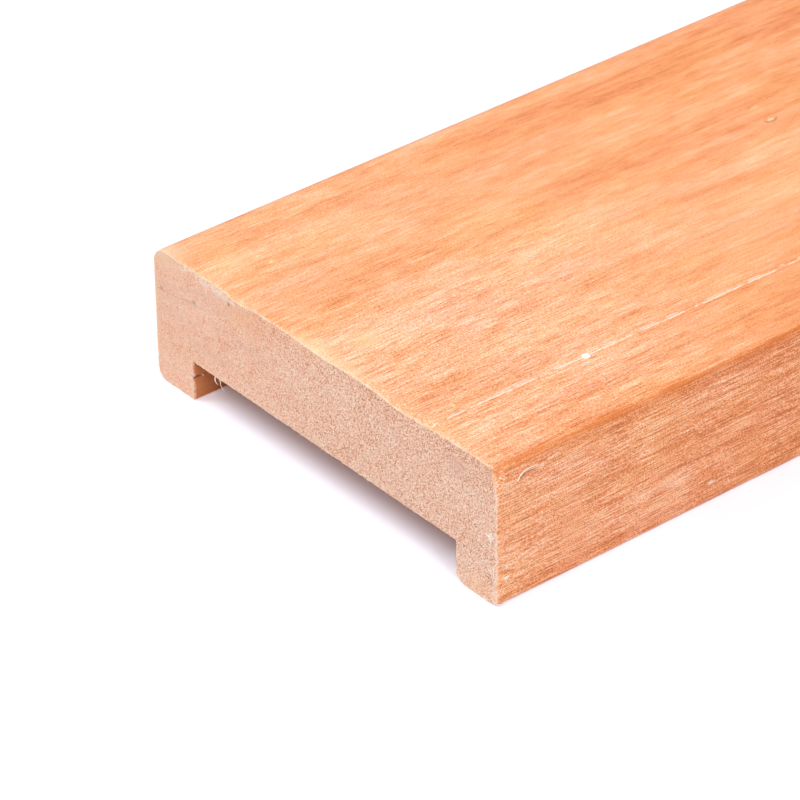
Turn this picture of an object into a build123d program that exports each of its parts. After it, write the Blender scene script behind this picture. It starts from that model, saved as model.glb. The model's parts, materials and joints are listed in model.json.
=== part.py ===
"""Window sill cover board: one planed hardwood board with a wide recess underneath.

The board is a single sawn and planed piece. It lies over the top of a sill or a low wall, which fills the
recess from below, while the two lips beside the recess reach down over the sill's faces.

Frame: X is across the board, Y is along the grain, and Z is up. The origin is under the middle of the board,
on the level that the two lips stand on. Both ends are sawn square. All sizes are in millimetres.
"""

import os

from build123d import *

# Overall size of the board
BOARD_WIDTH = 115.0
BOARD_THICKNESS = 34.0
BOARD_LENGTH = 1000.0

# The recess, and the lips that are left on both sides of it
LIP_WIDTH = 13.0
RECESS_DEPTH = 10.0

# Rounded arrises on the outside, one radius for each, as the plane and the sandpaper left them
LEFT_TOP_RADIUS = 4.0
RIGHT_TOP_RADIUS = 1.6
LEFT_FOOT_RADIUS = 3.2
RIGHT_FOOT_RADIUS = 1.0

# Edges of the recess: the mouth of the left lip is only just broken, the right lip has a low bevel there,
# and the cutter leaves a small radius in the two corners under the top
LEFT_MOUTH_BREAK = 0.3
RIGHT_BEVEL_WIDTH = 2.7
RIGHT_BEVEL_HEIGHT = 1.5
RECESS_CORNER_RADIUS = 0.4

# The two sawn ends have their sharp edges taken off all round
END_BREAK = 0.3

recess_width = BOARD_WIDTH - 2 * LIP_WIDTH


def outer_corner(section, side, level):
    """An outer corner of the section: side is -1 or 1 for left or right, level -1 or 1 for foot or top."""
    row = section.vertices().group_by(Axis.Y)[0 if level < 0 else -1]
    return row.sort_by(Axis.X)[0 if side < 0 else -1]


def mouth_corner(section, side):
    """The foot's corner beside the recess, next to the outer corner on that side."""
    row = section.vertices().group_by(Axis.Y)[0].sort_by(Axis.X)
    return row[1 if side < 0 else -2]


def foot_edge(section, side):
    """The flat under a lip, on the level that the board stands on."""
    row = section.edges().group_by(Axis.Y)[0].sort_by(Axis.X)
    return row[0 if side < 0 else -1]


with BuildPart() as cover_board:
    # The section stands in the XZ plane, with its outer corners rounded before the recess is cut
    with BuildSketch(Plane.XZ) as section:
        Rectangle(BOARD_WIDTH, BOARD_THICKNESS, align=(Align.CENTER, Align.MIN))
        fillet(outer_corner(section, -1, 1), radius=LEFT_TOP_RADIUS)
        fillet(outer_corner(section, 1, 1), radius=RIGHT_TOP_RADIUS)
        fillet(outer_corner(section, -1, -1), radius=LEFT_FOOT_RADIUS)
        fillet(outer_corner(section, 1, -1), radius=RIGHT_FOOT_RADIUS)

        # The recess, with a radius in its two upper corners
        with BuildSketch(mode=Mode.SUBTRACT) as recess:
            Rectangle(recess_width, RECESS_DEPTH, align=(Align.CENTER, Align.MIN))
            fillet(recess.vertices().group_by(Axis.Y)[-1], radius=RECESS_CORNER_RADIUS)

        # The mouth of the recess
        chamfer(mouth_corner(section, -1), length=LEFT_MOUTH_BREAK)
        chamfer(
            mouth_corner(section, 1),
            length=RIGHT_BEVEL_WIDTH,
            length2=RIGHT_BEVEL_HEIGHT,
            reference=foot_edge(section, 1),
        )

    extrude(amount=BOARD_LENGTH / 2, both=True)

    # The sawn ends
    for end in (cover_board.faces().sort_by(Axis.Y)[0], cover_board.faces().sort_by(Axis.Y)[-1]):
        chamfer(end.edges(), length=END_BREAK)

cover_board.part.label = "cover_board"

os.makedirs("parts", exist_ok=True)
export_step(cover_board.part, "parts/cover_board.step")
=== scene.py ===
"""Looks of the window sill cover board: one planed hardwood board with a wide recess underneath.

The board is modelled again here as a finer mesh of the same section and length, with worn arrises and rough
sawn ends. Its wood has bands, lines and vessels along the grain, and rings and pores across it. A second mesh
holds the torn fibres at the near end and the flake on the top.

Frame: metres, X across the board, Y along the grain, Z up. The near sawn end is at the lowest Y.
Places on the wood are given in millimetres as (x, s, z), where s is the distance from the near end.
"""

import json
import math
from functools import reduce

import bpy
import numpy as np
from mathutils import Matrix, Vector, kdtree


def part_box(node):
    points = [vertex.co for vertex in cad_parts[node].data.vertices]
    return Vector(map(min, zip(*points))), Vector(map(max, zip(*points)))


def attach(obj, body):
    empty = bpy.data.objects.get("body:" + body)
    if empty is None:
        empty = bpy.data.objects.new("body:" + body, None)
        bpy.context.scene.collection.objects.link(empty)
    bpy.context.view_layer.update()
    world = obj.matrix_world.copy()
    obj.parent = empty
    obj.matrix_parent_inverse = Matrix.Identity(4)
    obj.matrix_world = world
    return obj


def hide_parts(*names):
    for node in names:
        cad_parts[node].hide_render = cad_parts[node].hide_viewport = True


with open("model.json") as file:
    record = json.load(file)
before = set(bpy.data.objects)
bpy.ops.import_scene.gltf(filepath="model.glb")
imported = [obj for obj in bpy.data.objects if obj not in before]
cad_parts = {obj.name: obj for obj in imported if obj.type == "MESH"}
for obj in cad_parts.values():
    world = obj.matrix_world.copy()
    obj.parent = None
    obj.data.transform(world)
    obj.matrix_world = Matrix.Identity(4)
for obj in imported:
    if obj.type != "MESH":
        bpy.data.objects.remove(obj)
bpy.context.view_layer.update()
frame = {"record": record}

MM = 0.001

# Driving sizes, in metres: the outside and the recess's depth come from the frame
BOARD = "cover_board"
LOW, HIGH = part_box(BOARD)
LEFT, RIGHT, NEAR, FAR, TOP = LOW.x, HIGH.x, LOW.y, HIGH.y, HIGH.z
CEILING = next(m["pos_m"][2] for m in frame["record"]["mounts"] if m["name"] == "recess_seat")
LIP_WIDTH = 13 * MM
LEFT_WALL, RIGHT_WALL = LEFT + LIP_WIDTH, RIGHT - LIP_WIDTH

# Corners of the section: place, way out of the wood, size along X and Z, and whether round or else bevelled
CORNERS = (
    ((LEFT, TOP), (-1, 1), (4.0 * MM, 4.0 * MM), True),
    ((RIGHT, TOP), (1, 1), (1.6 * MM, 1.6 * MM), True),
    ((LEFT, 0.0), (-1, -1), (3.2 * MM, 3.2 * MM), True),
    ((RIGHT, 0.0), (1, -1), (1.0 * MM, 1.0 * MM), True),
    ((LEFT_WALL, 0.0), (1, -1), (0.3 * MM, 0.3 * MM), False),
    ((RIGHT_WALL, 0.0), (-1, -1), (2.7 * MM, 1.5 * MM), False),
)

# Mesh across the section: intervals in each part at the coarsest level, and how far they bunch at its ends;
# each finer level doubles them
LIP_STEPS, LIP_BUNCHING = 14, 0.45
MIDDLE_STEPS, MIDDLE_BUNCHING = 45, 0.2
RECESS_STEPS, RECESS_BUNCHING = 7, 0.4
SLAB_STEPS, SLAB_BUNCHING = 15, 0.45
FINEST = 2

# Mesh along the board: the first gap at each end, the number of gaps and their share of the length
NEAR_GAP, NEAR_GAPS, NEAR_SHARE = 0.22 * MM, 125, 0.7
FAR_GAP, FAR_GAPS, FAR_SHARE = 0.4 * MM, 32, 0.3
# How far from the ends the section is at the finest and at the middle level
NEAR_FINEST, NEAR_FINE, FAR_FINE = 7 * MM, 45 * MM, 12 * MM

# Edges that meet at a larger angle than this are shaded as sharp
SHARP_ANGLE = math.radians(38)

# The heart of the tree lay above the board's left edge, in millimetres
PITH_X, PITH_Z = -60.0, 90.0
# The grain's lines drift this much to the right for each millimetre along the board
GRAIN_SLOPE = 0.014

# Camera, as fitted to the board's edges in the photo
CAMERA_PLACE = Vector((0.66696, NEAR - 0.51537, 0.57423))
CAMERA_YAW = math.radians(51.1487)
CAMERA_PITCH = math.radians(33.2355)
CAMERA_ROLL = math.radians(-0.9214)
CAMERA_FOCAL_PX = 4794.64
PICTURE_PX = 800
SENSOR_MM = 36.0

# Soft boxes: name, azimuth (0 is in front of the near end, 90 to the right) and elevation in degrees, size in
# metres and power in watts
SOFT_BOXES = (
    ("left_soft_box", -52, 60, 1.2, 29.5),
    ("right_soft_box", 80, 35, 1.0, 27.0),
    ("back_soft_box", 170, 50, 1.2, 9.0),
    ("front_right_soft_box", 36, 45, 1.2, 37.0),
)
LAMP_DISTANCE = 2.8
# They point at the floor, this far along the board
LAMP_TARGET = 0.1

# The even light of the room, as a share of white, and half of the floor's width
ROOM_LIGHT, FLOOR_HALF = 0.155, 4.0
# The floor's colour in the light that it throws on the board, and as it is seen
FLOOR_COLOUR, FLOOR_SEEN = (0.72, 0.72, 0.72, 1.0), (1.13, 1.15, 1.27, 1.0)
WHITE = (1.0, 1.0, 1.0, 1.0)


def srgb(red, green, blue):
    """A colour given in the usual 0 to 255 steps, as a linear RGBA colour."""
    steps = (c / 255 for c in (red, green, blue))
    return (*(c / 12.92 if c <= 0.04045 else ((c + 0.055) / 1.055) ** 2.4 for c in steps), 1.0)


# Smooth random fields for the relief


# Large numbers that scramble the place of a lattice cell
SCRAMBLE = (374761393, 668265263, 2246822519)
SCRAMBLE_AGAIN = 1274126177


def lattice(cells, seed):
    """One repeatable random number from -1 to 1 for each lattice cell."""
    mixed = np.uint32(seed * 97 + 13)
    for axis, factor in enumerate(SCRAMBLE):
        mixed = mixed + cells[..., axis].astype(np.uint32) * np.uint32(factor)
    mixed = (mixed ^ (mixed >> np.uint32(13))) * np.uint32(SCRAMBLE_AGAIN)
    mixed ^= mixed >> np.uint32(16)
    return mixed.astype(float) / 0xFFFFFFFF * 2 - 1


def field(points, cell, seed):
    """Smooth noise from -1 to 1 at points; cell is the size of its features along X, Y and Z."""
    scaled = points / np.asarray(cell, float)
    base = np.floor(scaled).astype(np.int64)
    part = scaled - base
    part = part * part * (3 - 2 * part)
    total = 0.0
    for corner in np.ndindex(2, 2, 2):
        weight = np.prod(np.where(np.array(corner) == 1, part, 1 - part), axis=-1)
        total = total + weight * lattice(base + np.array(corner), seed)
    return total


def smooth(value, start, end):
    """0 before start, 1 after end, and a soft step between."""
    t = np.clip((value - start) / (end - start), 0, 1)
    return t * t * (3 - 2 * t)


def bell(value, centre, width):
    """1 where value is at centre, falling to 0 over about twice the width."""
    return np.exp(-(((value - centre) / width) ** 2))


# The board's mesh


def spread(start, end, steps, bunching):
    """Positions from start to end, closer together towards both ends."""
    t = np.linspace(0, 1, steps + 1)
    return start + (end - start) * (t - bunching * np.sin(2 * np.pi * t) / (2 * np.pi))


def joined(*runs):
    """Runs of positions in a row, each starting where the last one ends."""
    return np.concatenate([runs[0], *(run[1:] for run in runs[1:])])


def growing(length, first, steps):
    """Distances from 0 to length whose gaps grow evenly from the first one, by a ratio found by halving."""
    low, high, halvings = 1.0001, 3.0, 60
    for _ in range(halvings):
        ratio = (low + high) / 2
        if first * (ratio**steps - 1) / (ratio - 1) < length:
            low = ratio
        else:
            high = ratio
    gaps = first * ratio ** np.arange(steps)
    return np.concatenate([[0.0], np.cumsum(gaps)]) * length / gaps.sum()


def cornered(x, z):
    """Moves a square section's points so that each of its corners becomes a quarter circle or a bevel."""
    for (corner_x, corner_z), (out_x, out_z), (size_x, size_z), is_round in CORNERS:
        u = (x - corner_x) * out_x / size_x + 1
        v = (z - corner_z) * out_z / size_z + 1
        inside = (u > 0) & (v > 0) & (u < 1.0001) & (v < 1.0001)
        if is_round:
            new_u = u * np.sqrt(np.clip(1 - v * v / 2, 0, 1))
            new_v = v * np.sqrt(np.clip(1 - u * u / 2, 0, 1))
        else:
            new_u = u * (1 - v / 2)
            new_v = v * (1 - u / 2)
        x = np.where(inside, corner_x + (new_u - 1) * size_x * out_x, x)
        z = np.where(inside, corner_z + (new_v - 1) * size_z * out_z, z)
    return x, z


class Section:
    """The section as a grid of points at one level of fineness, with its outline as a closed loop."""

    def __init__(self, level):
        fine = 2**level
        lip, middle = LIP_STEPS * fine, MIDDLE_STEPS * fine
        recess, slab = RECESS_STEPS * fine, SLAB_STEPS * fine
        x = joined(
            spread(LEFT, LEFT_WALL, lip, LIP_BUNCHING),
            spread(LEFT_WALL, RIGHT_WALL, middle, MIDDLE_BUNCHING),
            spread(RIGHT_WALL, RIGHT, lip, LIP_BUNCHING),
        )
        z = joined(spread(0.0, CEILING, recess, RECESS_BUNCHING), spread(CEILING, TOP, slab, SLAB_BUNCHING))
        self.x, self.z = cornered(*np.meshgrid(x, z, indexing="ij"))
        last_x, last_z = len(x) - 1, len(z) - 1
        wall_a, wall_b = lip, lip + middle
        self.open = (slice(wall_a + 1, wall_b), slice(0, recess))
        corners = np.array([
            (0, 0), (wall_a, 0), (wall_a, recess), (wall_b, recess), (wall_b, 0), (last_x, 0),
            (last_x, last_z), (0, last_z),
        ])
        loop = []
        for corner, following in zip(corners, np.roll(corners, -1, 0)):
            steps = abs(following - corner).max()
            loop += [corner + (following - corner) // steps * n for n in range(steps)]
        self.loop = np.array(loop)
        cells = [(i, k) for i in range(last_x) for k in range(last_z)]
        self.cells = [(i, k) for i, k in cells if not (wall_a <= i < wall_b and k < recess)]
        outline = tuple(self.loop.T)
        self.points = np.stack([self.x[outline], self.z[outline]], -1)
        along = np.roll(self.points, -1, 0) - np.roll(self.points, 1, 0)
        out = np.stack([along[:, 1], -along[:, 0]], -1)
        self.out = out / np.linalg.norm(out, axis=1, keepdims=True)
        lengths = np.linalg.norm(np.roll(self.points, -1, 0) - self.points, axis=1)
        self.share = np.concatenate([[0.0], np.cumsum(lengths)[:-1]]) / lengths.sum()


def stations():
    """Places along the board with the section's level there: fine at the ends, finest at the near one."""
    length = FAR - NEAR
    near = NEAR + growing(NEAR_SHARE * length, NEAR_GAP, NEAR_GAPS)
    far = FAR - growing(FAR_SHARE * length, FAR_GAP, FAR_GAPS)[::-1]
    places = joined(near, far)
    from_near, from_far = places - NEAR, FAR - places
    levels = np.where(from_near < NEAR_FINEST, FINEST, np.where(from_near < NEAR_FINE, 1, 0))
    return places, np.where(from_far < FAR_FINE, 1, levels)


# Unevenness of the surface: its depth and the size of its features along X, Y and Z, in millimetres
PLANED_WAVES = (0.02, (22, 70, 22))
PLANED_GRAIN = (0.010, (3, 9, 3))
ROUGH_END = (0.035, (1.3, 1.1, 1.3))
BROKEN_EDGE = (0.08, (0.55, 2, 0.55))
EDGE_FUZZ = (0.06, (0.8, 3, 0.8))
TORN_WAVES = (0.22, (2.6, 1000, 1000))
TORN_FIBRES = (0.3, (0.9, 1000, 1000))
TORN_REACH = (0.9, (4, 1000, 1000))
SAWN_WAVES = (0.05, (14, 1000, 5))
SAWN_GRAIN = (0.035, (0.8, 1000, 0.8))

# Where the near end's top arris is worn or torn down most: place, half width and depth in millimetres
DIPS = ((-27, 4, 0.70), (1, 6, 0.45), (29, 9, 0.85))
LEAST_DIP = 0.12

# Depth and reach along the board of the wear at the near end's upper right corner and at the right lip's foot
CORNER_WEAR, CORNER_REACH = 1.3 * MM, 3 * MM
FOOT_WEAR, FOOT_REACH = 0.75 * MM, 4.5 * MM
# How far from an end the roughness and the broken edge reach
ROUGH_REACH, BROKEN_REACH = 2.0 * MM, 0.3 * MM


def uneven(places, texture, seed):
    """A texture's depth at some places, in millimetres."""
    depth, cell = texture
    return depth * field(places, np.array(cell) * MM, seed)


def worn_top(x):
    """How far the top arris of the near end is worn or torn down, along the board's width."""
    dips = sum(depth * bell(x, place * MM, width * MM) for place, width, depth in DIPS)
    return (LEAST_DIP + dips) * MM


def relief(places, out, from_end, near_end):
    """How the planed faces leave the ideal section: moves for points, in metres."""
    seed = 3 if near_end else 11
    depth = uneven(places, PLANED_WAVES, seed) + uneven(places, PLANED_GRAIN, seed + 1)
    rough = np.exp(-from_end / ROUGH_REACH)
    depth = depth + rough * (uneven(places, ROUGH_END, seed + 2) - 0.05)
    broken = np.exp(-from_end / BROKEN_REACH)
    depth = depth - broken * (0.12 + uneven(places, BROKEN_EDGE, seed + 3))
    moves = np.zeros_like(places)
    moves[:, 0] = out[:, 0] * depth * MM
    moves[:, 2] = out[:, 1] * depth * MM
    inward = 1 if near_end else -1
    moves[:, 1] = inward * broken * (0.09 + uneven(places, EDGE_FUZZ, seed + 4)) * MM
    if near_end:
        moves += damage(places, out, from_end, seed)
    return moves


def damage(places, out, from_end, seed):
    """The near end's torn top arris, worn corner and torn foot: moves for points, in metres."""
    x, z = places[:, 0], places[:, 2]
    moves = np.zeros_like(places)
    upper = smooth(out[:, 1], 0.2, 0.8) * smooth(z, 0.6 * TOP, 0.8 * TOP)
    ragged = 1 + uneven(places, TORN_WAVES, seed + 5) + uneven(places, TORN_FIBRES, seed + 7)
    reach = (1.7 + uneven(places, TORN_REACH, seed + 6)) * MM
    moves[:, 2] -= upper * ragged * worn_top(x) * (1 - smooth(from_end, 0.0, reach))
    on_right = smooth(out[:, 0], 0.2, 0.9) * (x > RIGHT - 4 * MM)
    corner = on_right * smooth(z, TOP - 6 * MM, TOP - 1.5 * MM)
    moves[:, 0] -= CORNER_WEAR * corner * (1 - smooth(from_end, 0.0, CORNER_REACH))
    below = smooth(-out[:, 1], 0.1, 0.7) * (z < 2 * MM)
    foot = below * smooth(x, RIGHT - 5.5 * MM, RIGHT + 0.5 * MM)
    moves[:, 2] += FOOT_WEAR * foot * np.exp(-from_end / FOOT_REACH)
    return moves


def sawn(places, near_end):
    """How far a sawn end's points stand back from its plane."""
    seed = 21 if near_end else 31
    return (0.05 + uneven(places, SAWN_WAVES, seed) + uneven(places, SAWN_GRAIN, seed + 1)) * MM


def follow_rim(points, rim, rim_moves):
    """Lets a sawn end's points follow its rim's moves, less and less over the nearest few millimetres."""
    reach = 4.5 * MM
    tree = kdtree.KDTree(len(rim))
    for j, place in enumerate(rim):
        tree.insert(place, j)
    tree.balance()
    moves = np.zeros_like(points)
    for n, point in enumerate(points):
        _, j, distance = tree.find(point)
        if distance < reach:
            moves[n] = rim_moves[j] * (1 - distance / reach) ** 2
    return moves


def bridge(before, before_size, start, size):
    """Faces between two rings, where one may have twice as many points as the other."""
    faces = []
    for j in range(min(size, before_size)):
        if before_size == size:
            faces.append((before + j, before + (j + 1) % size, start + (j + 1) % size, start + j))
        elif before_size > size:
            a, m, b = (before + (2 * j + n) % before_size for n in range(3))
            faces.append((a, m, b, start + (j + 1) % size, start + j))
        else:
            a, m, b = (start + (2 * j + n) % size for n in range(3))
            faces.append((before + j, before + (j + 1) % before_size, b, m, a))
    return faces


def ring_at(section, place):
    """The section's outline as points at one place along the board."""
    return np.column_stack([section.points[:, 0], np.full(len(section.loop), place), section.points[:, 1]])


def sawn_end(section, near_end, rim_start, count):
    """A sawn end inside its rim: its own points, numbered from count, and its faces."""
    place = NEAR if near_end else FAR
    index = np.full(section.x.shape, -1)
    index[tuple(section.loop.T)] = rim_start + np.arange(len(section.loop))
    inner = index < 0
    inner[section.open] = False
    flat = np.column_stack([section.x[inner], np.full(inner.sum(), place), section.z[inner]])
    rim = ring_at(section, place)
    moves = follow_rim(flat, rim, relief(rim, section.out, np.zeros(len(rim)), near_end))
    moves[:, 1] += (1 if near_end else -1) * sawn(flat, near_end)
    index[inner] = count + np.arange(len(flat))
    faces = []
    for i, k in section.cells:
        quad = (index[i, k], index[i + 1, k], index[i + 1, k + 1], index[i, k + 1])
        faces.append(quad if near_end else quad[::-1])
    return flat + moves, faces


def board_mesh():
    """The whole board as one closed mesh: rings along its length, and a grid on each sawn end.

    Returns its vertices, its faces, how many are long ones, and each ring point's share of the outline.
    """
    sections = [Section(level) for level in range(FINEST + 1)]
    places, levels = stations()
    vertices, faces, shares = [], [], []
    previous = None
    count = 0
    for place, level in zip(places, levels):
        section = sections[level]
        size = len(section.loop)
        ring = ring_at(section, place)
        near_end = place < (NEAR + FAR) / 2
        from_end = np.full(size, place - NEAR if near_end else FAR - place)
        vertices.append(ring + relief(ring, section.out, from_end, near_end))
        shares.append(section.share)
        if previous is not None:
            faces += bridge(*previous, count, size)
        previous = (count, size)
        count += size
    long_faces = len(faces)
    for near_end, level, rim_start in ((True, levels[0], 0), (False, levels[-1], previous[0])):
        points, end_faces = sawn_end(sections[level], near_end, rim_start, count)
        vertices.append(points)
        faces += end_faces
        count += len(points)
    return np.concatenate(vertices), faces, long_faces, np.concatenate(shares)


def bake_map(mesh, long_faces, shares):
    """A UV map for baking: the long faces unrolled into one strip, with both sawn ends in a row above it."""
    strip_height, end_row, end_width, far_end_start = 0.87, 0.885, 0.45, 0.5
    layer = mesh.uv_layers.new(name="OFBake")
    places = np.empty(len(mesh.vertices) * 3)
    mesh.vertices.foreach_get("co", places)
    corner_vertex = np.empty(len(mesh.loops), np.int64)
    mesh.loops.foreach_get("vertex_index", corner_vertex)
    starts = np.empty(len(mesh.polygons), np.int64)
    mesh.polygons.foreach_get("loop_start", starts)
    sizes = np.diff(np.append(starts, len(corner_vertex)))
    corner_face = np.repeat(np.arange(len(starts)), sizes)
    x, y, z = places.reshape(-1, 3)[corner_vertex].T
    share = np.append(shares, np.zeros(len(mesh.vertices) - len(shares)))[corner_vertex]
    # A face that closes the outline has its first points at the strip's far edge, not back at its start
    highest = np.maximum.reduceat(share, starts)[corner_face]
    share = np.where(highest - share > 0.5, share + 1, share)
    is_long = corner_face < long_faces
    is_far = y > (NEAR + FAR) / 2
    across = (x - LEFT) / (RIGHT - LEFT) * end_width + np.where(is_far, far_end_start, 0.0)
    u = np.where(is_long, (y - NEAR) / (FAR - NEAR), across)
    v = np.where(is_long, share * strip_height, end_row + z / TOP * (1 - end_row))
    layer.data.foreach_set("uv", np.column_stack([u, v]).ravel())


def added(name, data):
    """A new object in the scene."""
    thing = bpy.data.objects.new(name, data)
    bpy.context.collection.objects.link(thing)
    return thing


def add_piece(name, mesh):
    """Adds a mesh as a piece of the board."""
    piece = added(name, mesh)
    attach(piece, "root")
    return piece


def build_board():
    """The board itself, with one material along the grain and one on the sawn ends."""
    vertices, faces, long_faces, shares = board_mesh()
    mesh = bpy.data.meshes.new("planed_board")
    mesh.from_pydata(vertices.tolist(), [], faces)
    for material in (long_grain(), end_grain()):
        mesh.materials.append(material)
    slots = np.zeros(len(faces), np.int32)
    slots[long_faces:] = 1
    mesh.polygons.foreach_set("material_index", slots)
    mesh.shade_smooth()
    mesh.set_sharp_from_angle(angle=SHARP_ANGLE)
    bake_map(mesh, long_faces, shares)
    board = add_piece("planed_board", mesh)
    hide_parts(BOARD)


# Torn fibres and loose splinters


def on_board(x, s, z):
    """A place in metres from one in millimetres."""
    return np.array([x * MM, NEAR + s * MM, z * MM])


def curved(points, steps):
    """A smooth path through a few points."""
    points = [2 * points[0] - points[1], *points, 2 * points[-1] - points[-2]]
    path = []
    for before, a, b, after in zip(points, points[1:], points[2:], points[3:]):
        for t in np.arange(steps) / steps:
            path.append(
                a + 0.5 * t * (b - before)
                + t * t * (before - 2.5 * a + 2 * b - 0.5 * after)
                + t * t * t * (-0.5 * before + 1.5 * a - 1.5 * b + 0.5 * after)
            )
    return np.array([*path, points[-2]])


class Strands:
    """Many thin closed strands of wood in one mesh."""

    SIDES = 5
    # How much of a strand's radius is lost at its free end
    TAPER = 0.65
    # Points along a hair, how deep its root is in the wood, and the levels that it stays between
    HAIR_POINTS, ROOT_DEPTH = 6, 0.15 * MM
    HAIR_LOWEST, HAIR_HIGHEST = 0.02 * MM, TOP + 0.75 * MM
    # A direction that no strand follows, to turn its cross sections by
    HELPER = np.array([0.31, 0.52, 0.80])

    def __init__(self):
        self.vertices, self.faces = [], []

    def add(self, path, radius, flat=1.0):
        """One strand along a path, thinner towards its free end; flat below 1 makes it a ribbon."""
        along = np.gradient(path, axis=0)
        along /= np.linalg.norm(along, axis=1, keepdims=True)
        side = np.cross(along, self.HELPER)
        side /= np.linalg.norm(side, axis=1, keepdims=True)
        other = np.cross(along, side)
        start = len(self.vertices)
        share = np.linspace(0, 1, len(path))
        thick = radius * (1 - self.TAPER * share**2)
        for n, place in enumerate(path):
            for k in range(self.SIDES):
                angle = 2 * math.pi * k / self.SIDES
                reach = math.cos(angle) * side[n] + flat * math.sin(angle) * other[n]
                self.vertices.append(place + thick[n] * reach)
        self.skin(start, self.SIDES)

    def skin(self, start, sides):
        """Faces over the points added since start, which lie in rings of one point for each side."""
        rings = [range(first, first + sides) for first in range(start, len(self.vertices), sides)]
        for a, b in zip(rings, rings[1:]):
            for k in range(sides):
                following = (k + 1) % sides
                self.faces.append((a[k], a[following], b[following], b[k]))
        self.faces.append(tuple(reversed(rings[0])))
        self.faces.append(tuple(rings[-1]))

    def hair(self, random, root, way, length, radius, curl=0.5):
        """A hair from a root just inside the wood, the way it points, bent a little at random."""
        way = way / np.linalg.norm(way)
        bend = random.normal(size=3) * curl
        t = np.linspace(0, 1, self.HAIR_POINTS)[:, None]
        path = root - self.ROOT_DEPTH * way + length * (way * t + bend * 0.5 * t * t)
        path[:, 2] = np.clip(path[:, 2], self.HAIR_LOWEST, self.HAIR_HIGHEST)
        self.add(path, radius)


# Hairs along the near end's edges: how many, the range that places are drawn from, the root for a draw, the
# scatter of their directions, their lean, and the ranges of their length and radius in millimetres
ARRIS_HAIRS = (
    # On the top arris
    (
        300, (LEFT + 3 * MM, RIGHT - 1 * MM), lambda x: (x, NEAR + 0.12 * MM, TOP - 0.14 * MM - worn_top(x)),
        (0.8, 0.5, 0.5), (0.2, -0.5, 0.7), (0.3, 0.95), (0.05, 0.09),
    ),
    # On the upright arris at the right
    (
        60, (1 * MM, TOP - 2 * MM), lambda z: (RIGHT - 0.12 * MM, NEAR + 0.12 * MM, z),
        (0.4, 0.4, 1.0), (0.5, -0.5, 0.0), (0.3, 0.7), (0.04, 0.07),
    ),
    # On the edge of the recess's ceiling
    (
        70, (LEFT_WALL, RIGHT_WALL), lambda x: (x, NEAR + 0.15 * MM, CEILING + 0.12 * MM),
        (1.0, 0.5, 0.5), (0.0, -0.2, -0.8), (0.2, 0.7), (0.03, 0.055),
    ),
)

# Tufts of hairs: the place of the root in millimetres, the way they point, how many, and their length
TUFTS = (
    ((55.7, 0.1, 16.6), (0.1, -0.8, 0.2), 22, 1.0),
    ((56.2, 0.1, 8.6), (-0.2, -0.8, 0.1), 5, 1.5),
    ((57.4, 2.5, 6.3), (0.9, 0.0, 0.4), 9, 1.0),
    ((57.4, 2.8, 9.2), (0.9, 0.0, 0.2), 6, 1.0),
    ((57.4, 1.2, 31.6), (0.8, -0.3, 0.6), 6, 0.8),
    ((-44.6, 2.6, 5.9), (0.9, -0.2, 0.0), 6, 0.7),
    ((-47.5, 0.2, 33.7), (0.0, -0.6, 0.8), 10, 0.8),
    ((-44.0, 0.2, 33.6), (0.1, -0.6, 0.8), 10, 0.8),
    ((-40.5, 0.2, 33.6), (0.0, -0.5, 0.9), 12, 0.8),
    ((-37.0, 0.2, 33.4), (0.0, -0.7, 0.7), 9, 0.9),
    ((-34.5, 0.2, 33.6), (0.1, -0.5, 0.9), 10, 0.8),
    ((41.5, 0.2, 33.5), (0.2, -0.5, 0.8), 8, 0.7),
)

# The scatter of a tuft's roots in millimetres and of its directions, the ranges of its hairs' length (as a
# share) and radius in millimetres, and their curl
TUFT_ROOTS, TUFT_SCATTER = (0.25, 0.05, 0.25), 0.7
TUFT_LENGTHS, TUFT_RADII, TUFT_CURL = (0.4, 1.0), (0.06, 0.11), 0.8

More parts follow.
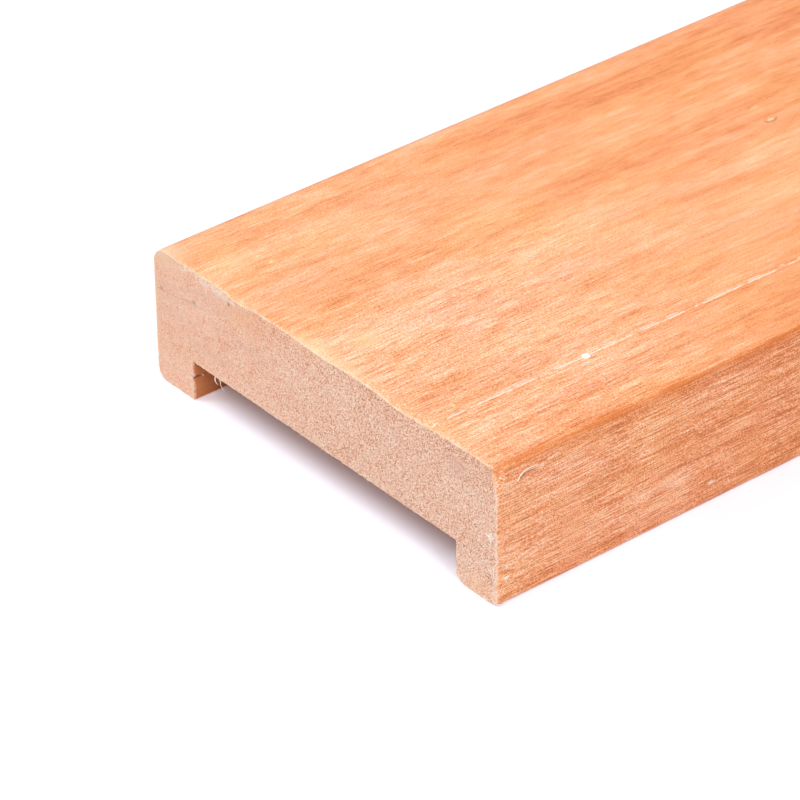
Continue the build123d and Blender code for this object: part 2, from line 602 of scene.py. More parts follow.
# Longer loose fibres: the points they pass through in millimetres, their radius, and how flat they are
LOOSE_FIBRES = (
    # The white curl that stands off the right face below its arris, and a thinner one behind it
    (((57.3, 5.6, 28.9), (57.7, 5.7, 29.3), (57.9, 6.1, 30.3), (57.9, 6.8, 30.8), (57.8, 8.0, 31.1),
      (57.7, 9.6, 31.0), (57.4, 11.4, 30.7)), 0.18, 0.7),
    (((57.3, 13.0, 30.9), (57.6, 14.4, 31.0), (57.6, 16.2, 31.2), (57.3, 17.6, 31.1)), 0.09, 0.6),
    # White fibres on the near end
    (((55.7, -0.1, 16.6), (54.8, -0.3, 17.1), (54.2, -0.2, 16.9)), 0.14, 0.6),
    (((55.8, -0.1, 16.8), (56.4, -0.4, 17.6), (56.5, -0.3, 18.6)), 0.12, 0.6),
    (((55.7, -0.1, 16.6), (56.3, -0.4, 15.8), (56.5, -0.3, 15.0)), 0.14, 0.6),
    (((55.7, -0.1, 16.6), (55.2, -0.3, 16.0), (54.7, -0.2, 15.7)), 0.12, 0.6),
    (((55.8, -0.1, 16.7), (56.6, -0.3, 16.9), (57.2, 0.1, 17.3)), 0.12, 0.6),
    (((53.8, 0.1, 8.9), (55.0, -0.3, 9.4), (56.3, -0.3, 9.8), (57.3, 0.0, 10.1)), 0.10, 0.6),
    (((54.5, 0.1, 8.7), (55.5, -0.3, 8.7), (56.3, -0.3, 8.2), (56.8, -0.3, 6.8), (57.3, 0.0, 6.2)),
     0.13, 0.6),
    (((57.5, 0.6, 11.4), (57.1, -0.2, 10.0), (57.0, -0.3, 8.2), (57.2, -0.2, 7.0), (57.5, 0.3, 6.3)),
     0.11, 0.6),
    (((-38.6, 0.1, 31.4), (-38.2, -0.3, 30.6), (-38.0, -0.1, 29.2)), 0.08, 0.6),
    # Two splinters that hang at the edge of the recess
    (((-36.8, 0.3, 10.2), (-36.3, -0.2, 9.5), (-35.8, -0.3, 9.1), (-35.3, -0.2, 8.8)), 0.16, 0.5),
    (((-35.0, 0.4, 9.9), (-34.5, -0.1, 9.2), (-33.7, -0.2, 8.6), (-32.9, -0.2, 8.1)), 0.11, 0.4),
    # The torn edge of the right lip's foot
    (((52.8, 0.2, 0.45), (54.2, -0.1, 0.55), (55.8, -0.15, 0.75), (57.2, 0.0, 1.0)), 0.13, 0.5),
    (((56.2, 0.2, 1.3), (57.0, -0.1, 1.0), (57.6, 0.4, 0.8), (57.7, 1.6, 0.55)), 0.10, 0.6),
)

# Steps on a loose fibre's path from one given point to the next
FIBRE_STEPS = 5
# The white flake that lies on the top: its middle and its reach along and across itself, in millimetres
FLAKE_PLACE, FLAKE_REACH = (37.1, 41.9, 34.0), (1.25, 1.0)
# The way the flake points on the top
FLAKE_ALONG = np.array([0.67, 0.74, 0.0])
FLAKE_ACROSS = np.array([0.74, -0.67, 0.0])
# Points on its outline, how far out they lie, and its levels: height in millimetres and share of the outline
FLAKE_POINTS, FLAKE_RAGGED = 14, (0.7, 1.15)
FLAKE_LEVELS = ((-0.05, 0.9), (0.16, 1.0), (0.28, 0.7))


def add_flake(strands, random):
    """A thin loose flake with a ragged outline, domed a little."""
    middle = on_board(*FLAKE_PLACE)
    angles = np.linspace(0, 2 * math.pi, FLAKE_POINTS, endpoint=False)
    reach = random.uniform(*FLAKE_RAGGED, FLAKE_POINTS)
    start = len(strands.vertices)
    for height, share in FLAKE_LEVELS:
        for angle, far in zip(angles, reach):
            along = math.cos(angle) * FLAKE_REACH[0] * FLAKE_ALONG
            across = math.sin(angle) * FLAKE_REACH[1] * FLAKE_ACROSS
            flat = (along - across) * far * share
            strands.vertices.append(middle + (flat + (0.0, 0.0, height)) * MM)
    strands.skin(start, FLAKE_POINTS)


def build_fibres():
    """All hairs, tufts, loose fibres and the flake as one piece."""
    random = np.random.default_rng(7)
    strands = Strands()
    for count, stretch, root_at, scatter, lean, lengths, radii in ARRIS_HAIRS:
        for _ in range(count):
            root = np.array(root_at(random.uniform(*stretch)))
            way = random.normal(size=3) * scatter + lean
            length = random.uniform(*lengths) * MM
            strands.hair(random, root, way, length, random.uniform(*radii) * MM)
    for place, lean, count, longest in TUFTS:
        for _ in range(count):
            root = on_board(*place) + random.normal(size=3) * TUFT_ROOTS * MM
            way = np.array(lean) + random.normal(size=3) * TUFT_SCATTER
            length = longest * random.uniform(*TUFT_LENGTHS) * MM
            strands.hair(random, root, way, length, random.uniform(*TUFT_RADII) * MM, TUFT_CURL)
    for points, radius, flat in LOOSE_FIBRES:
        strands.add(curved([on_board(*p) for p in points], FIBRE_STEPS), radius * MM, flat)
    add_flake(strands, random)
    mesh = bpy.data.meshes.new("torn_fibres")
    mesh.from_pydata([tuple(v) for v in strands.vertices], [], strands.faces)
    mesh.materials.append(loose_fibre())
    mesh.shade_smooth()
    add_piece("torn_fibres", mesh)


# Materials


class Graph:
    """Short ways to add nodes to a material or a world. Values are numbers, colours or outputs of nodes."""

    def __init__(self, owner):
        owner.use_nodes = True
        self.owner = owner
        self.tree = owner.node_tree
        self.tree.nodes.clear()

    def add(self, kind, inputs, **settings):
        """Adds a node. inputs maps its sockets, by name or number, to a value or to another node's output."""
        node = self.tree.nodes.new(kind)
        for key, value in settings.items():
            setattr(node, key, value)
        for key, value in inputs.items():
            if isinstance(value, bpy.types.NodeSocket):
                self.tree.links.new(value, node.inputs[key])
            else:
                node.inputs[key].default_value = value
        return node

    def math(self, operation, *values):
        return self.add("ShaderNodeMath", dict(enumerate(values)), operation=operation).outputs[0]

    def plus(self, *values):
        return reduce(lambda a, b: self.math("ADD", a, b), values)

    def times(self, *values):
        return reduce(lambda a, b: self.math("MULTIPLY", a, b), values)

    def less(self, a, b):
        return self.math("SUBTRACT", a, b)

    def vector(self, operation, a, b, output=0):
        return self.add("ShaderNodeVectorMath", {0: a, 1: b}, operation=operation).outputs[output]

    def apart(self, vector):
        """The X, Y and Z of a vector."""
        return self.add("ShaderNodeSeparateXYZ", {0: vector}).outputs

    def together(self, x, y, z):
        return self.add("ShaderNodeCombineXYZ", {0: x, 1: y, 2: z}).outputs[0]

    def noise(self, vector, stretch, detail, roughness, spin, strength=1.0):
        """Noise that swings about 0. Its features are about 1/stretch long; spin picks a pattern."""
        placed = self.vector("MULTIPLY", vector, stretch)
        placed = self.vector("ADD", placed, (spin, spin * 1.7, spin * 0.6))
        inputs = {"Vector": placed, "Scale": 1.0, "Detail": detail, "Roughness": roughness}
        value = self.add("ShaderNodeTexNoise", inputs).outputs["Fac"]
        return self.times(self.less(value, 0.5), strength)

    def cells(self, vector, stretch):
        """Distance to the nearest of scattered points, and a random number for each point."""
        placed = self.vector("MULTIPLY", vector, stretch)
        node = self.add("ShaderNodeTexVoronoi", {"Vector": placed, "Scale": 1.0}, feature="F1")
        return node.outputs["Distance"], self.apart(node.outputs["Color"])[0]

    def ease(self, value, start, end, low=0.0, high=1.0):
        """A soft step from low to high as value goes from start to end."""
        inputs = {0: value, 1: start, 2: end, 3: low, 4: high}
        return self.add("ShaderNodeMapRange", inputs, interpolation_type="SMOOTHSTEP").outputs[0]

    def bell(self, value, centre, width):
        """1 where value is at centre, falling to 0 over about twice the width."""
        scaled = self.math("DIVIDE", self.less(value, centre), width)
        return self.math("EXPONENT", self.times(scaled, scaled, -1.0))

    def spot(self, place, centre, size):
        """1 at centre, falling to 0 over about twice the size along each axis."""
        away = self.vector("DIVIDE", self.vector("SUBTRACT", place, centre), size)
        return self.math("EXPONENT", self.times(self.vector("DOT_PRODUCT", away, away, "Value"), -1.0))

    def spots(self, place, spots):
        """The sum of several spots, each given as centre, size and strength."""
        return self.plus(*(self.times(self.spot(place, at, size), share) for at, size, share in spots))

    def mix(self, share, a, b, blend="MIX"):
        """Colour a under a share of colour b."""
        settings = dict(data_type="RGBA", blend_type=blend, clamp_factor=True)
        return self.add("ShaderNodeMix", {0: share, 6: a, 7: b}, **settings).outputs[2]

    def ramp(self, value, stops):
        """A colour ramp from (place, colour) pairs."""
        node = self.add("ShaderNodeValToRGB", {0: value})
        elements = node.color_ramp.elements
        while len(elements) < len(stops):
            elements.new(0.5)
        for element, (place, colour) in zip(elements, stops):
            element.position = place
            element.color = colour
        return node.outputs[0]

    def finish(self, colour, roughness, height, depth):
        """Ends the material in one shader, with height in shares of depth, in metres."""
        bump = self.add("ShaderNodeBump", {"Strength": 1.0, "Distance": depth, "Height": height})
        inputs = {"Base Color": colour, "Roughness": roughness, "Normal": bump.outputs[0]}
        inputs["Specular IOR Level"] = 0.2
        return self.end(self.add("ShaderNodeBsdfPrincipled", inputs))

    def end(self, shader, kind="Material"):
        """Ends the material or world in a shader, and returns it."""
        self.add("ShaderNodeOutput" + kind, {"Surface": shader.outputs[0]})
        return self.owner


def millimetres(g):
    """Places on the object in millimetres, counted from the middle of the near end's foot."""
    place = g.add("ShaderNodeTexCoord", {}).outputs["Object"]
    moved = g.vector("SUBTRACT", place, (0.0, NEAR, 0.0))
    return g.vector("MULTIPLY", moved, (1000.0, 1000.0, 1000.0))


def unsteady(g, place, reach, size):
    """Places pushed about at random by about half of reach at most, which gives marks ragged edges."""
    scaled = g.vector("MULTIPLY", place, (1 / size, 1 / size, 1 / size))
    push = g.add("ShaderNodeTexNoise", {"Vector": scaled, "Scale": 1.0, "Detail": 1.0}).outputs["Color"]
    return g.vector("ADD", place, g.vector("MULTIPLY", g.vector("SUBTRACT", push, (0.5, 0.5, 0.5)), reach))


def pith_squares(g, x, z):
    """The square of the distance from the pith, in millimetres."""
    across, up = g.less(x, PITH_X), g.less(PITH_Z, z)
    return g.plus(g.times(across, across), g.times(up, up))


def growth(g, x, z):
    """How far out from the pith the wood grew, in millimetres. On the top face it equals x."""
    squares = g.plus(pith_squares(g, x, z), -((PITH_Z - TOP / MM) ** 2))
    return g.plus(g.math("SQRT", g.math("MAXIMUM", squares, 0.0)), PITH_X)


# Bands of growth: centre and half width in millimetres on the growth scale, and how much paler they are
BANDS = (
    # The pale band at the rounded left arris is partly the wood's own paler colour and partly a painted
    # highlight of the light from the left on the rounding
    (-57.0, 2.6, 0.20),
    (-46.3, 2.8, -0.09),
    (-35.5, 5.0, 0.03),
    (-31.8, 1.6, 0.04),
    (-28.0, 1.0, -0.04),
    (-16.5, 4.2, -0.06),
    (-12.4, 1.3, -0.07),
    (-1.5, 4.6, 0.10),
    (9.5, 7.0, 0.06),
    (23.0, 7.0, 0.03),
    (37.9, 1.2, -0.06),
    (42.5, 2.4, 0.02),
    (47.6, 1.2, -0.08),
    (52.6, 1.2, -0.06),
    (57.4, 2.6, -0.20),
    (61.0, 1.3, 0.05),
    (65.6, 0.7, -0.08),
    (69.5, 0.5, -0.06),
    (71.6, 0.8, 0.06),
    (75.8, 1.0, -0.06),
)

# Planed wood from its darkest vessels to its palest fibres
PLANED_COLOURS = (
    (0.0, srgb(200, 112, 62)),
    (0.15, srgb(226, 137, 88)),
    (0.3, srgb(242, 153, 102)),
    (0.45, srgb(250, 170, 121)),
    (0.6, srgb(252, 186, 142)),
    (0.75, srgb(253, 202, 163)),
    (0.9, srgb(255, 219, 184)),
    (1.0, srgb(255, 232, 204)),
)

# Colours of single features of the planed wood, among them the painted shade of the recess and of the gouge,
# and dark flecks that are partly painted shadows
VESSEL, RECESS_SHADE, DEEP_ARRIS = srgb(204, 118, 72), srgb(196, 108, 56), srgb(214, 118, 52)
PALE_PLANED_CORNER, FRAYED_PLANED, SAWN_RIM = srgb(255, 220, 188), srgb(255, 220, 172), srgb(255, 222, 194)
WHITE_LINE, GOUGE_SHADE = srgb(255, 242, 226), srgb(96, 44, 24)
YELLOW_FLECK, DARK_FLECK_AND_SHADOW, WHITE_FLECK = srgb(255, 224, 160), srgb(120, 62, 36), srgb(255, 246, 236)
KNOT_RING, KNOT_HEART = srgb(150, 88, 40), srgb(255, 214, 160)

# Marks on the planed faces: centre, half size along X, along the board and Z, in millimetres, and strength
YELLOW_FLECKS = (
    ((-38.8, 14.4, 34.0), (0.35, 0.7, 1.0), 1.0),
    ((-35.0, 15.2, 34.0), (0.4, 0.8, 1.0), 1.0),
    ((33.5, 8.8, 34.0), (0.4, 0.6, 1.0), 1.0),
    ((-16.4, 139.2, 34.0), (0.5, 1.2, 1.0), 0.5),
    ((2.5, 11.0, 34.0), (2.6, 3.2, 2.0), 0.35),
    ((-44.0, 9.0, 34.0), (8.0, 6.0, 2.0), 0.2),
)
WHITE_FLECKS = (
    ((37.1, 41.9, 34.0), (0.6, 1.2, 1.0), 0.9),
    ((57.5, 59.2, 4.9), (1.0, 0.8, 0.5), 0.8),
    ((57.5, 2.6, 6.3), (1.0, 0.6, 0.4), 0.8),
    ((57.5, 2.8, 9.2), (1.0, 0.8, 0.35), 0.5),
)
# Dark flecks and painted shadows: a painted shadow at the right of the flake, a dark fleck, and two painted
# shadows under the white curl on the right face
DARK_FLECKS_AND_SHADOWS = (
    ((38.4, 42.9, 34.0), (0.25, 0.8, 1.0), 0.4),
    ((-16.9, 138.4, 34.0), (0.3, 1.0, 1.0), 0.3),
    ((57.5, 6.9, 29.5), (1.0, 0.8, 0.5), 0.5),
    ((57.5, 8.8, 30.2), (1.0, 2.0, 0.35), 0.45),
)
# Painted shade of the gouge in the left lip's inner wall
GOUGE_SHADES = (((-44.5, 0.9, 5.9), (0.6, 1.5, 0.28), 0.8),)
# The knot's centre and half size
KNOT = ((-10.0, 138.5, 34.0), (1.0, 1.8, 2.0))


def long_grain():
    """Planed faces along the grain."""
    g = Graph(bpy.data.materials.new("planed_long_grain"))
    place = millimetres(g)
    x, s, z = g.apart(place)
    drifted = g.together(g.less(x, g.times(s, GRAIN_SLOPE)), s, z)
    ragged = unsteady(g, place, (0.9, 1.6, 0.9), 0.8)

    # Where the pores are open and the fine lines show: on the right, in front and on the right face
    on_side = g.ease(x, 56.4, 57.3)
    # Painted shade: the right face, which is painted darker below
    shaded_right_face = g.ease(x, 57.0, 57.5)
    towards_end = g.math("MAXIMUM", g.ease(s, 20.0, 120.0, 1.0, 0.30), on_side)
    open_grain = g.plus(g.times(g.ease(x, -25.0, 10.0, 0.62, 1.0), towards_end), g.times(on_side, 0.3))

    swayed = g.plus(
        growth(g, x, z),
        g.noise(place, (0.03, 0.008, 0.03), 1.0, 0.5, 2.0, 3.0),
        g.noise(place, (0.4, 0.03, 0.4), 2.0, 0.6, 5.0, 1.0),
    )
    bands = g.plus(*(g.times(g.bell(swayed, centre, width), change) for centre, width, change in BANDS))
    level = g.plus(0.56, bands, g.ease(s, 15.0, 150.0, 0.0, -0.10))
    # The right face is painted darker than the top, as painted shade of the upright face: less so near the
    # end, and with a darker patch about 27 mm from it
    level = g.plus(
        level,
        g.times(shaded_right_face, g.ease(s, 3.0, 14.0, -0.075, -0.125)),
        g.times(shaded_right_face, g.bell(s, 27.0, 10.0), -0.04),
        g.times(g.bell(x, -41.0, 7.0), g.ease(s, 30.0, 130.0, 0.0, -0.11)),
        g.times(g.ease(x, 28.0, 42.0), g.ease(s, 45.0, 80.0, 0.0, -0.05)),
    )

    mottle = g.noise(drifted, (0.16, 0.035, 0.16), 3.0, 0.7, 1.3)
    mottle = g.times(mottle, g.ease(x, 56.4, 57.3, 0.66, 0.42))
    drawn_out = g.noise(drifted, (0.45, 0.02, 0.45), 3.0, 0.6, 7.7)
    drawn_out = g.times(drawn_out, g.ease(s, 60.0, 140.0, 0.33, 0.56))
    lines = g.times(g.noise(drifted, (3.8, 0.11, 4.9), 1.0, 0.7, 12.3, 1.5), open_grain)
    speckle = g.times(g.noise(drifted, (2.9, 2.5, 3.3), 1.0, 0.9, 15.1, 1.6), open_grain)
    clouds = g.noise(drifted, (0.6, 0.13, 0.6), 2.0, 0.7, 71.0)
    clouds = g.times(clouds, g.ease(x, -10.0, 15.0, 0.45, 0.2))
    tone = g.plus(level, mottle, drawn_out, clouds, lines, speckle)
    colour = g.ramp(tone, PLANED_COLOURS)

    # Patches that lean to yellow or to pink
    lean = g.noise(place, (0.09, 0.03, 0.09), 3.0, 0.7, 19.0)
    lean = g.plus(lean, g.ease(open_grain, 0.4, 1.1, 0.45, 0.62))
    tint = g.ramp(lean, ((0.3, (1.0, 1.0, 0.88, 1.0)), (0.75, (1.0, 0.99, 1.06, 1.0))))
    colour = g.mix(1.0, colour, tint, "MULTIPLY")

    # Vessels: short dark dashes along the grain
    from_vessel, chance = g.cells(drifted, (2.8, 0.25, 3.0))
    vessels = g.times(g.ease(from_vessel, 0.10, 0.42, 1.0, 0.0), g.ease(chance, 0.1, 0.8))
    vessels = g.times(vessels, g.ease(open_grain, 0.3, 1.3, 0.1, 0.8))
    colour = g.mix(vessels, colour, VESSEL)

    # The routed recess is painted a deeper colour than the planed faces, as painted shade inside the recess
    ceiling, wall = CEILING / MM, RIGHT_WALL / MM
    below = g.ease(z, ceiling + 0.1, ceiling + 0.4, 1.0, 0.0)
    between = g.ease(g.math("ABSOLUTE", x), wall + 0.1, wall + 0.4, 1.0, 0.0)
    colour = g.mix(g.times(below, between, 0.8), colour, RECESS_SHADE)

    # The arris on the right is a deeper orange, and the corner at the left of the near end is paler
    streaks = g.noise(drifted, (1.6, 0.03, 1.6), 2.0, 0.6, 61.0)
    arris = g.times(g.bell(swayed, 57.2, 1.2), g.ease(z, 25.0, 30.0), g.ease(streaks, -0.12, 0.1, 0.35, 1.2))
    colour = g.mix(g.times(arris, 0.6), colour, DEEP_ARRIS)
    pale_corner = g.spot(ragged, (-54.5, 0.0, 33.0), (5.5, 4.5, 6.0))
    colour = g.mix(g.times(pale_corner, 0.65), colour, PALE_PLANED_CORNER)

    # Pale frayed wood at the sawn end
    uneven_s = g.plus(s, g.noise(place, (0.5, 0.3, 0.5), 2.0, 0.6, 23.0, 5.0))
    on_middle = g.times(g.ease(x, -14.0, -5.0), g.ease(x, 8.0, 24.0, 1.0, 0.2), g.ease(z, 31.0, 33.0))
    fray = g.times(g.ease(uneven_s, 0.5, 5.5, 1.0, 0.0), on_middle)
    colour = g.mix(g.times(fray, 0.38), colour, FRAYED_PLANED)
    ragged_s = g.plus(s, g.noise(place, (1.3, 1.0, 1.3), 2.0, 0.8, 26.0, 2.4))
    colour = g.mix(g.ease(ragged_s, 0.0, 0.8, 0.6, 0.0), colour, SAWN_RIM)

    # The white line that runs along the top on the right, and a fainter, broken one beside it
    wavy = unsteady(g, place, (0.5, 1.6, 0.5), 1.4)
    beside = g.less(g.apart(wavy)[0], g.times(s, 0.016))
    broken = g.noise(place, (0.3, 0.24, 0.3), 3.0, 0.7, 31.0)
    line = g.times(g.bell(beside, 36.4, 0.22), g.ease(broken, -0.11, 0.02, 0.18, 0.95))
    line = g.plus(line, g.times(g.bell(beside, 35.75, 0.16), g.ease(broken, -0.03, 0.06), 0.75))
    line = g.times(line, g.ease(z, 33.0, 33.8), g.ease(s, 120.0, 170.0, 1.0, 0.0))
    colour = g.mix(line, colour, WHITE_LINE)

    # Flecks, painted shadows of the flake and the white curl, the gouge as painted shade, and the knot: a
    # dark ring round a pale heart
    colour = g.mix(g.spots(ragged, YELLOW_FLECKS), colour, YELLOW_FLECK)
    colour = g.mix(g.spots(ragged, DARK_FLECKS_AND_SHADOWS), colour, DARK_FLECK_AND_SHADOW)
    colour = g.mix(g.spots(ragged, WHITE_FLECKS), colour, WHITE_FLECK)
    knot = g.spot(ragged, *KNOT)
    knot_ring = g.times(g.ease(knot, 0.15, 0.4), g.ease(knot, 0.6, 0.8, 1.0, 0.0))
    knot_ring = g.times(knot_ring, g.ease(x, -10.6, -9.4, 0.3, 1.0))
    colour = g.mix(g.times(knot_ring, 0.45), colour, KNOT_RING)
    colour = g.mix(g.times(g.ease(knot, 0.7, 0.9), 0.8), colour, KNOT_HEART)
    colour = g.mix(g.spots(ragged, GOUGE_SHADES), colour, GOUGE_SHADE)

    roughness = g.plus(0.55, g.times(mottle, 0.15), g.times(vessels, 0.15))
    height = g.plus(g.times(mottle, 0.8), lines, speckle, g.times(vessels, -0.6), g.times(line, 0.8))
    return g.finish(colour, roughness, height, 0.035 * MM)


# Sawn end grain from its darkest pores to its palest fibres
SAWN_COLOURS = (
    (0.0, srgb(180, 120, 90)),
    (0.25, srgb(232, 166, 136)),
    (0.5, srgb(255, 199, 171)),
    (0.75, srgb(255, 219, 195)),
    (1.0, srgb(255, 240, 224)),
)

# Colours of single features of the sawn wood
GREY_WOOD, ORANGE_WOOD, CRACK = srgb(232, 186, 170), srgb(255, 193, 150), srgb(166, 128, 114)
TORN_SAWN, FRAYED_SAWN = srgb(255, 238, 224), srgb(255, 234, 214)
LEFT_RIM, PALE_SAWN_CORNER = srgb(255, 206, 160), srgb(255, 216, 184)

# Marks on the near end, given as on the planed faces
ORANGE_STAINS = (
    ((-26.0, 0.0, 30.0), (6.5, 3.0, 3.0), 0.45),
    ((-6.0, 0.0, 32.0), (5.0, 3.0, 1.2), 0.25),
    ((52.5, 0.0, 2.5), (4.0, 3.0, 2.5), 0.30),
)
GREY_STAINS = (
    ((45.0, 0.0, 28.5), (3.5, 3.0, 2.5), 0.45),
    ((-50.0, 0.0, 19.5), (7.0, 3.0, 1.6), 0.35),
    ((-38.0, 0.0, 15.5), (8.0, 3.0, 1.2), 0.30),
    ((-24.0, 0.0, 23.0), (7.0, 3.0, 1.4), 0.25),
    ((56.4, 0.0, 32.2), (0.8, 3.0, 1.8), 0.60),
)
DARK_SPECKS = (
    ((-55.0, 0.0, 24.2), (0.5, 3.0, 0.5), 0.45),
    ((-43.2, 0.0, 25.8), (0.5, 3.0, 0.7), 0.45),
    ((-30.7, 0.0, 31.5), (0.4, 3.0, 0.5), 0.9),
    ((-47.5, 0.0, 27.6), (0.3, 3.0, 0.4), 0.5),
)
FUZZ_SPOTS = (
    ((-38.5, 0.0, 33.2), (2.6, 3.0, 0.9), 0.35),
    ((-33.5, 0.0, 32.6), (2.4, 3.0, 1.0), 0.35),
    ((55.6, 0.0, 16.8), (0.8, 3.0, 0.8), 0.9),
    ((56.4, 0.0, 8.6), (0.6, 3.0, 1.4), 0.4),
    ((-44.8, 0.0, 33.6), (1.6, 3.0, 0.6), 0.35),
)
# The crack follows a growth ring: how far it is from the pith, and half of its width
CRACK_RADIUS, CRACK_WIDTH = 66.4, 0.16


def end_grain():
    """Sawn ends across the grain."""
    g = Graph(bpy.data.materials.new("sawn_end_grain"))
    place = millimetres(g)
    x, s, z = g.apart(place)
    ragged = unsteady(g, place, (1.2, 0.0, 1.2), 0.9)
    from_pith = g.math("SQRT", pith_squares(g, x, z))
    swayed = g.plus(from_pith, g.noise(place, (0.06, 0.01, 0.06), 2.0, 0.5, 1.0, 5.0))
    rings = g.noise(g.together(swayed, g.times(s, 0.01), 0.0), (0.25, 1.0, 1.0), 3.0, 0.7, 3.0)
    patches = g.noise(place, (0.10, 0.01, 0.10), 3.0, 0.7, 4.0)

    # The pores are open on the right two thirds and nearly closed on the left
    open_pored = g.ease(g.plus(x, g.times(z, -0.5), g.times(patches, 40.0)), -55.0, 5.0, 0.47, 1.0)
    stipple = g.times(g.noise(place, (1.7, 0.05, 1.7), 1.0, 0.8, 9.0, 0.9), open_pored)
    grit = g.times(g.noise(place, (3.6, 0.1, 3.6), 1.0, 0.6, 14.0, 3.0), open_pored)
    from_dot, dot_chance = g.cells(place, (3.1, 0.1, 3.1))
    dots = g.times(g.less(dot_chance, 0.5), g.ease(from_dot, 0.15, 0.5, 1.0, 0.0), open_pored)
    from_pore, pore_chance = g.cells(place, (2.6, 0.1, 2.6))
    pores = g.times(g.ease(from_pore, 0.12, 0.44, 1.0, 0.0), g.ease(pore_chance, 0.1, 0.7), open_pored)
    blotches = g.noise(place, (0.5, 0.02, 0.5), 3.0, 0.8, 17.0)
    blotches = g.times(blotches, g.ease(open_pored, 0.5, 1.0, 0.45, 0.3))

    tone = g.plus(0.54, g.times(rings, 0.30), g.times(patches, 0.35), blotches)
    tone = g.plus(tone, stipple, grit, dots, g.times(pores, -0.18))
    tone = g.plus(tone, g.ease(z, 10.0, 13.0, 0.05, 0.0), g.ease(z, 26.0, 32.0, 0.0, -0.05))
    colour = g.ramp(tone, SAWN_COLOURS)

    grey = g.times(g.ease(rings, 0.02, 0.14, 0.0, 0.35), g.ease(x, -30.0, 0.0, 1.0, 0.3))
    colour = g.mix(g.plus(grey, g.spots(ragged, GREY_STAINS)), colour, GREY_WOOD)
    colour = g.mix(g.spots(ragged, ORANGE_STAINS), colour, ORANGE_WOOD)
    wavering = g.plus(from_pith, g.noise(place, (0.8, 0.01, 0.8), 2.0, 0.6, 40.0, 0.8))
    on_left = g.times(g.ease(x, -56.5, -55.0), g.ease(x, -43.5, -42.0, 1.0, 0.0))
    on_near_end = g.ease(s, 0.0, 3.0, 1.0, 0.0)
    crack = g.times(g.bell(wavering, CRACK_RADIUS, CRACK_WIDTH), on_left, on_near_end)
    colour = g.mix(g.plus(g.times(crack, 0.25), g.spots(ragged, DARK_SPECKS)), colour, CRACK)

    # Pale torn wood along the arrises and in a few tufts
    tears = g.ease(g.noise(place, (0.7, 0.1, 0.7), 2.0, 0.7, 44.0), -0.05, 0.12, 0.1, 0.7)
    right_rim = g.times(g.ease(x, 56.6, 57.1), tears)
    colour = g.mix(g.plus(right_rim, g.spots(ragged, FUZZ_SPOTS)), colour, TORN_SAWN)
    frays = g.ease(g.noise(place, (0.9, 0.1, 0.9), 2.0, 0.7, 52.0), -0.04, 0.08)
    upper_left = g.times(g.ease(z, 31.2, 32.6), g.ease(x, -50.0, -46.0), g.ease(x, -30.0, -22.0, 1.0, 0.0))
    colour = g.mix(g.times(frays, upper_left, 0.75), colour, FRAYED_SAWN)
    left_rim = g.ease(x, -57.2, -56.4, 1.0, 0.0)
    colour = g.mix(g.times(left_rim, 0.6), colour, LEFT_RIM)
    # A paler patch at the upper left corner of the near end
    pale_corner = g.spot(ragged, (-54.5, 0.0, 34.0), (7.5, 3.0, 4.6))
    colour = g.mix(g.times(pale_corner, 0.8), colour, PALE_SAWN_CORNER)

    height = g.plus(stipple, g.times(grit, 0.8), g.times(pores, -0.6), g.times(crack, -1.0))
    return g.finish(colour, 0.8, height, 0.04 * MM)


PALE_FIBRE, WARM_FIBRE, TANNED_FIBRE = srgb(255, 250, 243), srgb(255, 228, 202), srgb(236, 190, 156)


def loose_fibre():
    """Torn fibres: nearly white, with warmer stretches."""
    g = Graph(bpy.data.materials.new("loose_fibre"))
    place = millimetres(g)
    _, s, z = g.apart(place)
    on_top = g.times(g.ease(z, 32.6, 33.2), g.ease(s, 1.0, 2.0, 0.2, 0.0))
    warm = g.ease(g.plus(g.noise(place, (0.6, 0.6, 0.6), 2.0, 0.6, 2.0), on_top), 0.02, 0.2)
    colour = g.mix(warm, PALE_FIBRE, WARM_FIBRE)
    tanned = g.ease(g.noise(place, (5.0, 5.0, 5.0), 2.0, 0.6, 6.0), 0.0, 0.2, 0.0, 0.4)
    colour = g.mix(tanned, colour, TANNED_FIBRE)
    return g.finish(colour, 0.7, g.noise(place, (7.0, 7.0, 7.0), 2.0, 0.6, 8.0), 0.02 * MM)


# Stage, light and camera


def white_floor():
    """A plain pale floor, seen as white where no shadow falls."""
    g = Graph(bpy.data.materials.new("white_floor"))
    path = g.add("ShaderNodeLightPath", {}).outputs
    seen = g.plus(path["Is Camera Ray"], path["Is Glossy Ray"], path["Is Transmission Ray"])
    colour = g.mix(seen, FLOOR_COLOUR, FLOOR_SEEN)
    return g.end(g.add("ShaderNodeBsdfDiffuse", {"Color": colour}))


def build_stage():
    """The floor that the board lies on."""
    mesh = bpy.data.meshes.new("floor")
    corners = [(x * FLOOR_HALF, y * FLOOR_HALF, 0) for x, y in ((-1, -1), (1, -1), (1, 1), (-1, 1))]
    mesh.from_pydata(corners, [], [(0, 1, 2, 3)])
    mesh.materials.append(white_floor())
    floor = added("floor", mesh)


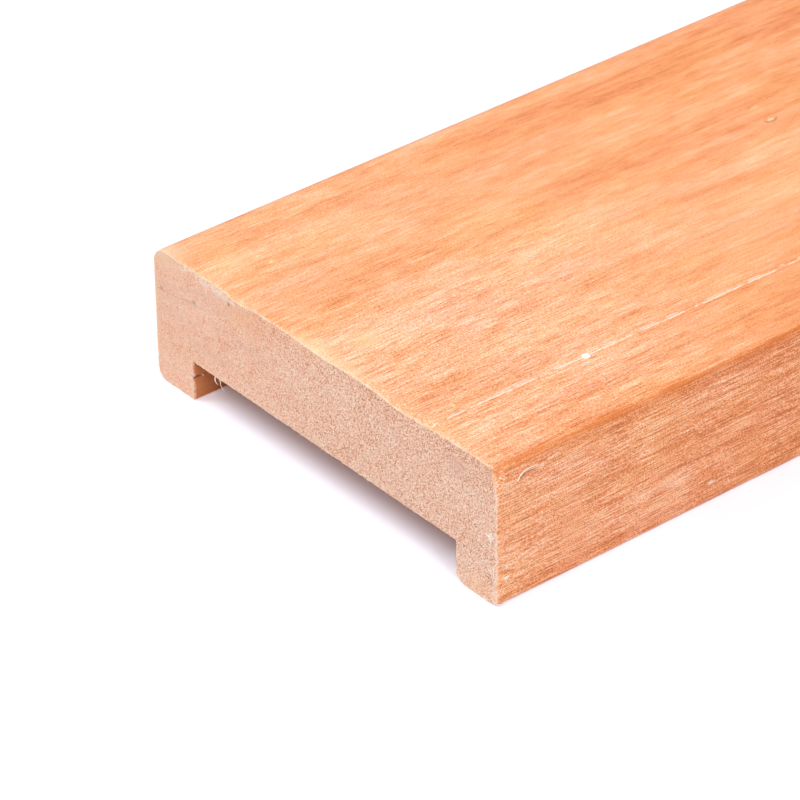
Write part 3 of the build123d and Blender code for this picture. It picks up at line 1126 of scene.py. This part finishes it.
def build_world():
    """A dim, even room that is seen as white, in reflections too."""
    world = bpy.data.worlds.new("studio")
    bpy.context.scene.world = world
    g = Graph(world)
    path = g.add("ShaderNodeLightPath", {}).outputs
    seen = path["Is Camera Ray"]
    for kind in ("Is Glossy Ray", "Is Transmission Ray"):
        seen = g.math("MAXIMUM", seen, path[kind])
    room = g.add("ShaderNodeBackground", {"Color": WHITE, "Strength": ROOM_LIGHT})
    white = g.add("ShaderNodeBackground", {"Color": WHITE, "Strength": 1.0})
    g.end(g.add("ShaderNodeMixShader", {0: seen, 1: room.outputs[0], 2: white.outputs[0]}), "World")


def build_lamps():
    """The soft boxes."""
    target = Vector((0.0, NEAR + LAMP_TARGET, 0.0))
    for name, azimuth, elevation, size, watts in SOFT_BOXES:
        a, e = math.radians(azimuth), math.radians(elevation)
        way = Vector((math.sin(a) * math.cos(e), -math.cos(a) * math.cos(e), math.sin(e)))
        lamp = bpy.data.lights.new(name, "AREA")
        lamp.shape = "SQUARE"
        lamp.size = size
        lamp.energy = watts
        holder = added(name, lamp)
        holder.location = target + LAMP_DISTANCE * way
        holder.rotation_euler = (-way).to_track_quat("-Z", "Y").to_euler()


def build_camera():
    """The camera that took the photo."""
    flat = math.cos(CAMERA_PITCH)
    ahead = Vector((-math.sin(CAMERA_YAW) * flat, math.cos(CAMERA_YAW) * flat, -math.sin(CAMERA_PITCH)))
    level = ahead.cross(Vector((0, 0, 1))).normalized()
    up = level.cross(ahead)
    right = math.cos(CAMERA_ROLL) * level + math.sin(CAMERA_ROLL) * up
    up = math.cos(CAMERA_ROLL) * up - math.sin(CAMERA_ROLL) * level
    camera = added("camera", bpy.data.cameras.new("camera"))
    camera.data.sensor_width = SENSOR_MM
    camera.data.lens = CAMERA_FOCAL_PX / PICTURE_PX * SENSOR_MM
    camera.data.clip_start = 0.05
    turn = Matrix((right, up, -ahead)).transposed().to_4x4()
    camera.matrix_world = Matrix.Translation(CAMERA_PLACE) @ turn
    bpy.context.scene.camera = camera


build_camera()
build_world()
build_lamps()
build_stage()
build_board()
build_fibres()

bpy.context.scene.view_settings.view_transform = "Standard"
